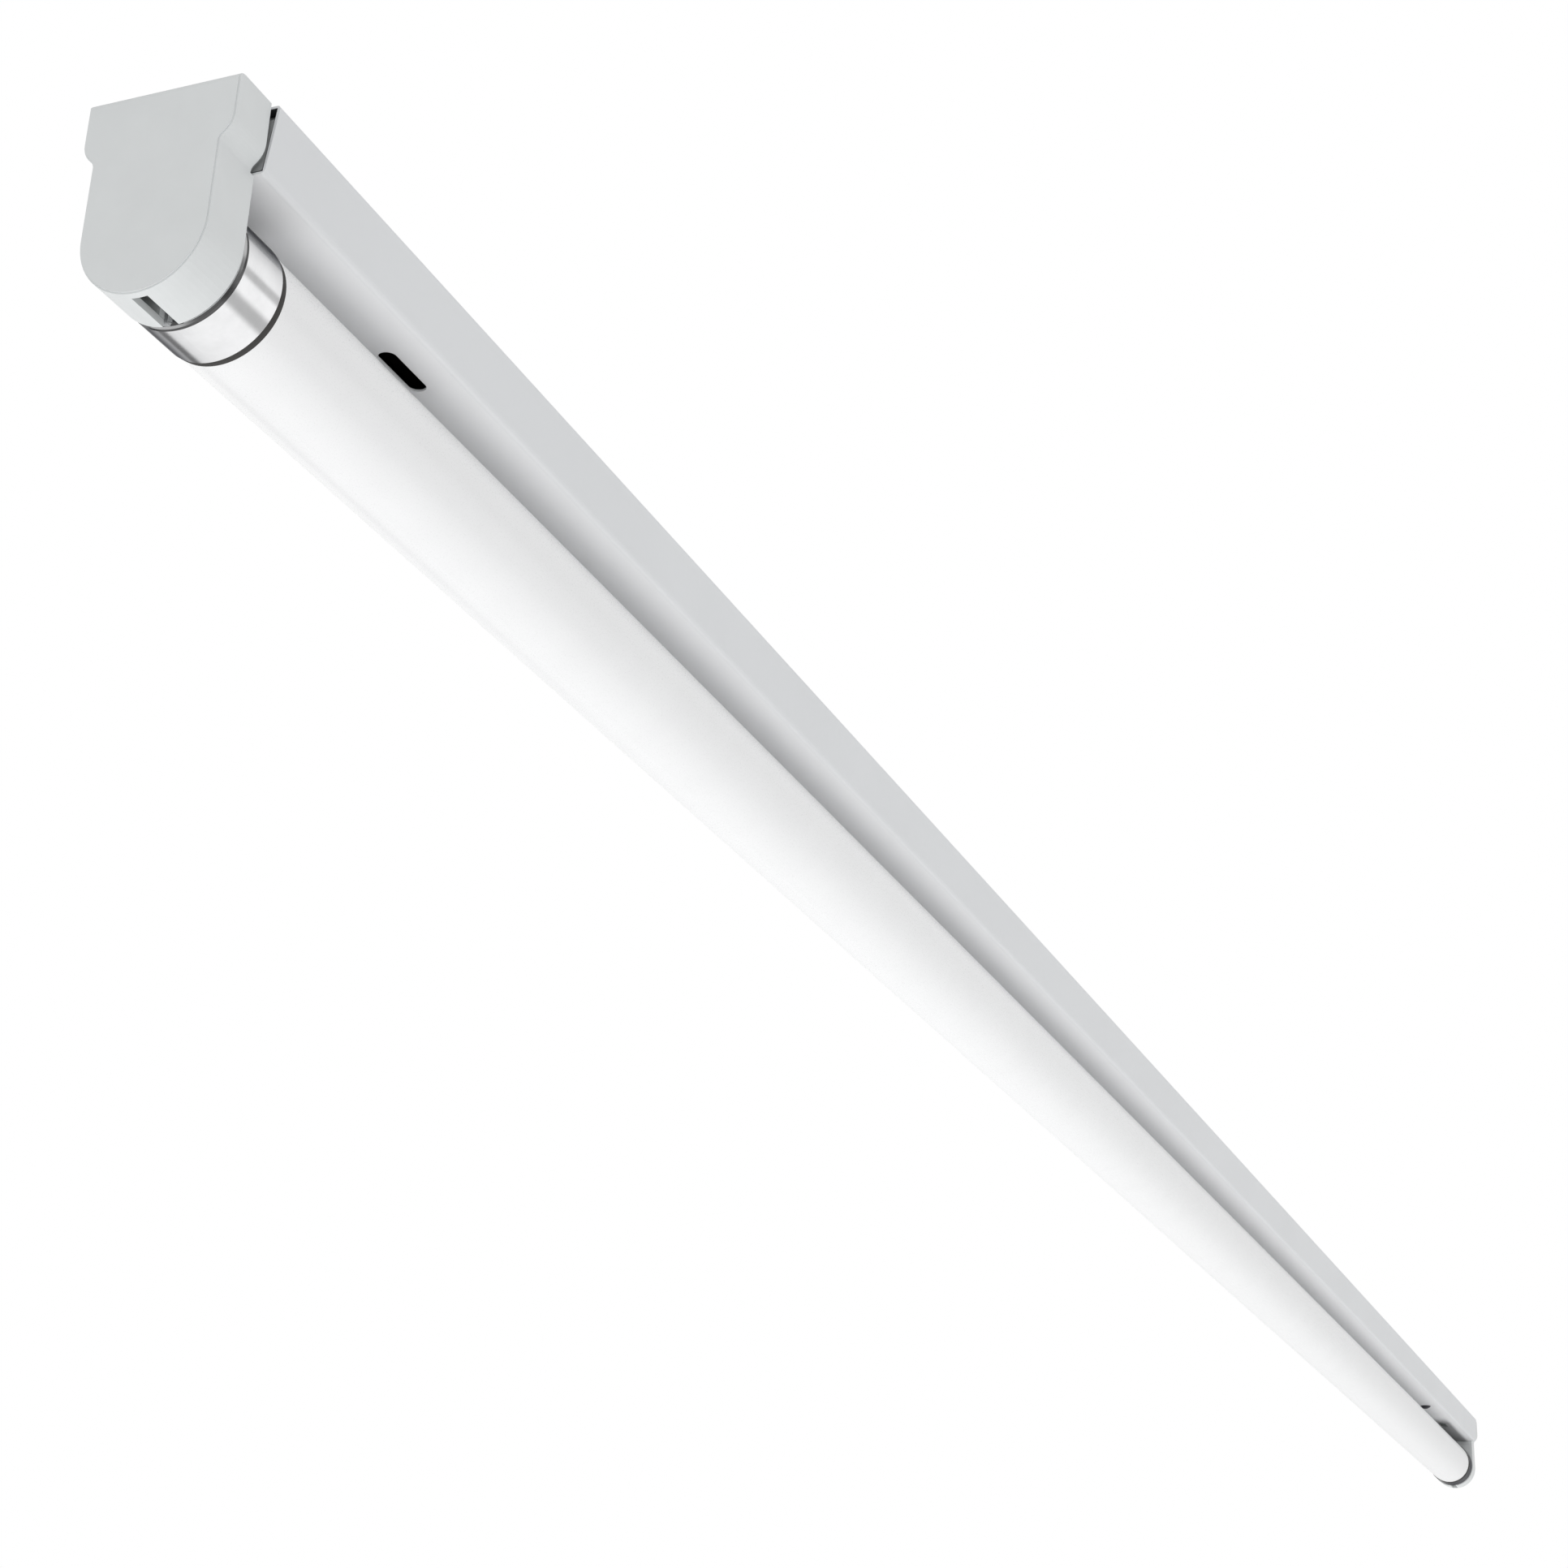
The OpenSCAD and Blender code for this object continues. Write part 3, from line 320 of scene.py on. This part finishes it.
def resist(name, color):
    """Solder resist over woven glass board."""
    f = Finish(name, color, 0.35, Specular_IOR_Level=0.5)
    weave = f.node(
        "ShaderNodeTexBrick",
        {
            "Vector": f.place,
            "Scale": 1 / (0.9 * MM),
            "Mortar Size": 0.05,
            "Color1": (*color, 1),
            "Color2": (*tinted(color, 0.93), 1),
            "Mortar": (*tinted(color, 0.85), 1),
        },
    )
    f.link(weave.outputs["Color"], "Base Color")
    f.link(f.ramp(f.noise(1 * MM), 0.3, 0.42), "Roughness")
    f.link(f.bump(weave.outputs["Fac"], 0.004 * MM), "Normal")
    return f.material


def resin(name, color, roughness=0.2):
    """Cast resin or a shrink sleeve: glossy, with a slightly sunken face."""
    f = Finish(name, color, roughness, Specular_IOR_Level=0.5, Coat_Weight=0.3, Coat_Roughness=0.1)
    sag = f.noise(1.2 * MM, detail=2.0)
    f.link(f.mix(f.ramp(sag, 0.0, 1.0), tinted(color, 0.88), tinted(color, 1.06)), "Base Color")
    f.link(f.ramp(sag, roughness - 0.05, roughness + 0.1), "Roughness")
    f.link(f.bump(sag, 0.02 * MM), "Normal")
    return f.material


def winding():
    """Ferrite core and enamelled wire: the core is grey, and turns of wire show below it."""
    color = (0.055, 0.055, 0.06)
    f = Finish("ferrite_and_winding", color, 0.5, Specular_IOR_Level=0.4)
    grit = f.noise(0.3 * MM, detail=4.0)
    wave = {"Vector": f.place, "Scale": 1 / (1.2 * MM), "Distortion": 0.4}
    turns = f.node("ShaderNodeTexWave", wave, bands_direction="Z").outputs["Fac"]
    f.link(f.mix(f.ramp(grit, 0.0, 1.0), tinted(color, 0.75), tinted(color, 1.4)), "Base Color")
    f.link(f.ramp(turns, 0.35, 0.6), "Roughness")
    f.link(f.bump(turns, 0.05 * MM), "Normal")
    return f.material


FINISHES = {
    "white_steel": powder_coat(),
    "cap_plastic": moulded("end_cap_polycarbonate", (0.765, 0.787, 0.79), painted_tongue_shade=True),
    "rotor_plastic": moulded("rotor_polycarbonate", (0.84, 0.845, 0.84), roughness=0.36),
    "nylon": moulded("clip_nylon", (0.82, 0.82, 0.8), roughness=0.45),
    "spring_metal": rolled_metal("phosphor_bronze", (0.72, 0.45, 0.27), 0.3, spangle=0.1),
    "plated_steel": rolled_metal("zinc_plated_steel", (0.66, 0.67, 0.69), 0.3, spangle=0.15),
    "clip_steel": rolled_metal("spring_steel", (0.5, 0.51, 0.53), 0.32, spangle=0.1),
    "galvanised": rolled_metal("galvanised_sheet", (0.58, 0.59, 0.6), 0.42, spangle=0.45, size=7 * MM),
    "block_plastic": moulded("block_polyamide", (0.8, 0.77, 0.66), roughness=0.33),
    "insert_brass": rolled_metal("drawn_brass", (0.76, 0.58, 0.26), 0.28, spangle=0.1),
    "brown_wire": sleeve("brown_insulation", (0.13, 0.05, 0.022)),
    "blue_wire": sleeve("blue_insulation", (0.02, 0.09, 0.36)),
    "earth_wire": sleeve("earth_insulation", (0.05, 0.32, 0.04), stripe=(0.8, 0.66, 0.03)),
    "opal_glass": opal_glass(),
    "cap_aluminium": drawn_aluminium(),
    "sealant": cement(),
    "insulator": moulded("cap_insulator", (0.78, 0.78, 0.75), roughness=0.5),
    "pin_brass": rolled_metal("nickel_flashed_brass", (0.74, 0.68, 0.52), 0.24, spangle=0.1),
    "strip_board": resist("white_resist", (0.86, 0.86, 0.84)),
    "chip_resin": resin("phosphor_resin", (0.83, 0.6, 0.1)),
    "silicone": moulded("silicone_bond", (0.8, 0.8, 0.78), roughness=0.55, grain=0.8 * MM),
    "circuit_board": resist("green_resist", (0.015, 0.12, 0.035)),
    "coil": winding(),
    "capacitor": resin("capacitor_sleeve", (0.012, 0.012, 0.016), roughness=0.25),
    "chip_black": moulded("chip_epoxy", (0.02, 0.02, 0.021), roughness=0.5),
    "lead_wire": sleeve("lead_insulation", (0.42, 0.02, 0.015)),
}


def dress_nodes():
    """Gives every CAD node the finish of its material slot, and the earth screw a dark colour that is
    painted shade.
    """
    slots = {part["node"]: part["material_slot"] for part in frame["record"]["subparts"]}
    # The earth screw is painted near black: painted shade on its head
    screw_painted_shade = rolled_metal("screw_steel_painted_shade", (0.1, 0.1, 0.11), 0.4, spangle=0.15)
    for name, piece in NODES.items():
        piece.data.materials.clear()
        piece.data.materials.append(screw_painted_shade if name == "earth_screw" else FINISHES[slots[name]])


def studio_world():
    """Even light from all round. The camera sees white, and metal mirrors white with dark flags."""
    world = bpy.data.worlds.new("studio")
    bpy.context.scene.world = world
    world.use_nodes = True
    tree = world.node_tree
    tree.nodes.clear()

    def new(kind, inputs=None, **settings):
        return add_node(tree, kind, inputs, **settings)

    def calc(operation, first, second):
        return new("ShaderNodeMath", {0: first, 1: second}, operation=operation).outputs[0]

    def fade(value, start, end):
        made = new("ShaderNodeMapRange", {"Value": value, "From Min": start, "From Max": end})
        return made.outputs["Result"]

    def blend(value, first, second):
        return new("ShaderNodeMix", {0: value, 2: first, 3: second}, data_type="FLOAT").outputs[0]

    def ramp(value, stops):
        made = new("ShaderNodeValToRGB", {"Fac": value})
        made.color_ramp.interpolation = "EASE"
        cells = made.color_ramp.elements
        while len(cells) < len(stops):
            cells.new(0.5)
        for cell, (at, level) in zip(cells, stops):
            cell.position = at
            cell.color = (level, level, level, 1)
        return made.outputs["Color"]

    path = new("ShaderNodeLightPath")
    way = new("ShaderNodeSeparateXYZ", {"Vector": new("ShaderNodeTexCoord").outputs["Generated"]})
    along = fade(way.outputs["X"], -1.0, 1.0)
    around = fade(calc("ARCTAN2", way.outputs["Z"], way.outputs["Y"]), -math.pi, math.pi)
    flags = [(0.0, 1.0)]
    for start, full, full_end, end, dark in FLAGS_AROUND:
        flags += [(start, 1.0), (full, dark), (full_end, dark), (end, 1.0)]
    strips = blend(fade(along, *FLAGS_END), ramp(around, flags), 1.0)
    mirrored = calc("MULTIPLY", ramp(along, MIRRORED_ALONG), strips)
    unseen = blend(path.outputs["Is Glossy Ray"], AMBIENT, mirrored)
    seen = calc("MAXIMUM", path.outputs["Is Camera Ray"], path.outputs["Is Transmission Ray"])
    shown = blend(seen, unseen, 1.0)
    background = new("ShaderNodeBackground", {"Color": (1, 1, 1, 1), "Strength": shown})
    new("ShaderNodeOutputWorld", {"Surface": background.outputs[0]})


def studio_floor():
    """A wide pale floor far below the batten, lifted towards white for the camera."""
    half = FLOOR_SIZE / 2
    signs = ((-1, -1), (1, -1), (1, 1), (-1, 1))
    corners = [(half * x, half * y, FLOOR_Z) for x, y in signs]
    mesh = bpy.data.meshes.new("studio_floor")
    mesh.from_pydata(corners, [], [(0, 1, 2, 3)])
    floor = bpy.data.objects.new("studio_floor", mesh)
    bpy.context.scene.collection.objects.link(floor)
    f = Finish("floor_paint", (0.86, 0.86, 0.86), 0.9, Emission_Color=(1, 1, 1, 1))
    seen = f.node("ShaderNodeLightPath").outputs["Is Camera Ray"]
    f.link(f.ramp(seen, 0.0, FLOOR_GLOW, 0.0, 1.0), "Emission Strength")
    cloud = f.noise(0.8, detail=1.0)
    f.link(f.mix(cloud, (0.855, 0.855, 0.855), (0.865, 0.865, 0.865)), "Base Color")
    mesh.materials.append(f.material)
    floor.visible_glossy = False


def soft_lamp(name, place, target, size, watts):
    """A large soft lamp that faces its target and hides from the camera and from mirrors."""
    data = bpy.data.lights.new(name, "AREA")
    data.shape = "RECTANGLE"
    data.size, data.size_y = size
    data.energy = watts
    lamp = bpy.data.objects.new(name, data)
    lamp.location = place
    lamp.rotation_euler = (Vector(target) - Vector(place)).to_track_quat("-Z", "Y").to_euler()
    lamp.visible_camera = False
    lamp.visible_glossy = False
    bpy.context.scene.collection.objects.link(lamp)


def photo_camera():
    """The camera that took the photograph."""
    data = bpy.data.cameras.new("photo_camera")
    data.sensor_width = SENSOR
    data.lens = CAMERA_FOCAL_PX * SENSOR / PHOTO_SIDE
    data.clip_start = 0.01
    camera = bpy.data.objects.new("photo_camera", data)
    camera.location = CAMERA_PLACE
    camera.rotation_euler = Euler([math.radians(a) for a in CAMERA_TURN])
    bpy.context.scene.collection.objects.link(camera)
    bpy.context.scene.camera = camera


dress_nodes()
studio_world()
studio_floor()
for lamp_name, settings in SOFT_LAMPS.items():
    soft_lamp(lamp_name, *settings)
photo_camera()
bpy.context.scene.view_settings.view_transform = "Standard"
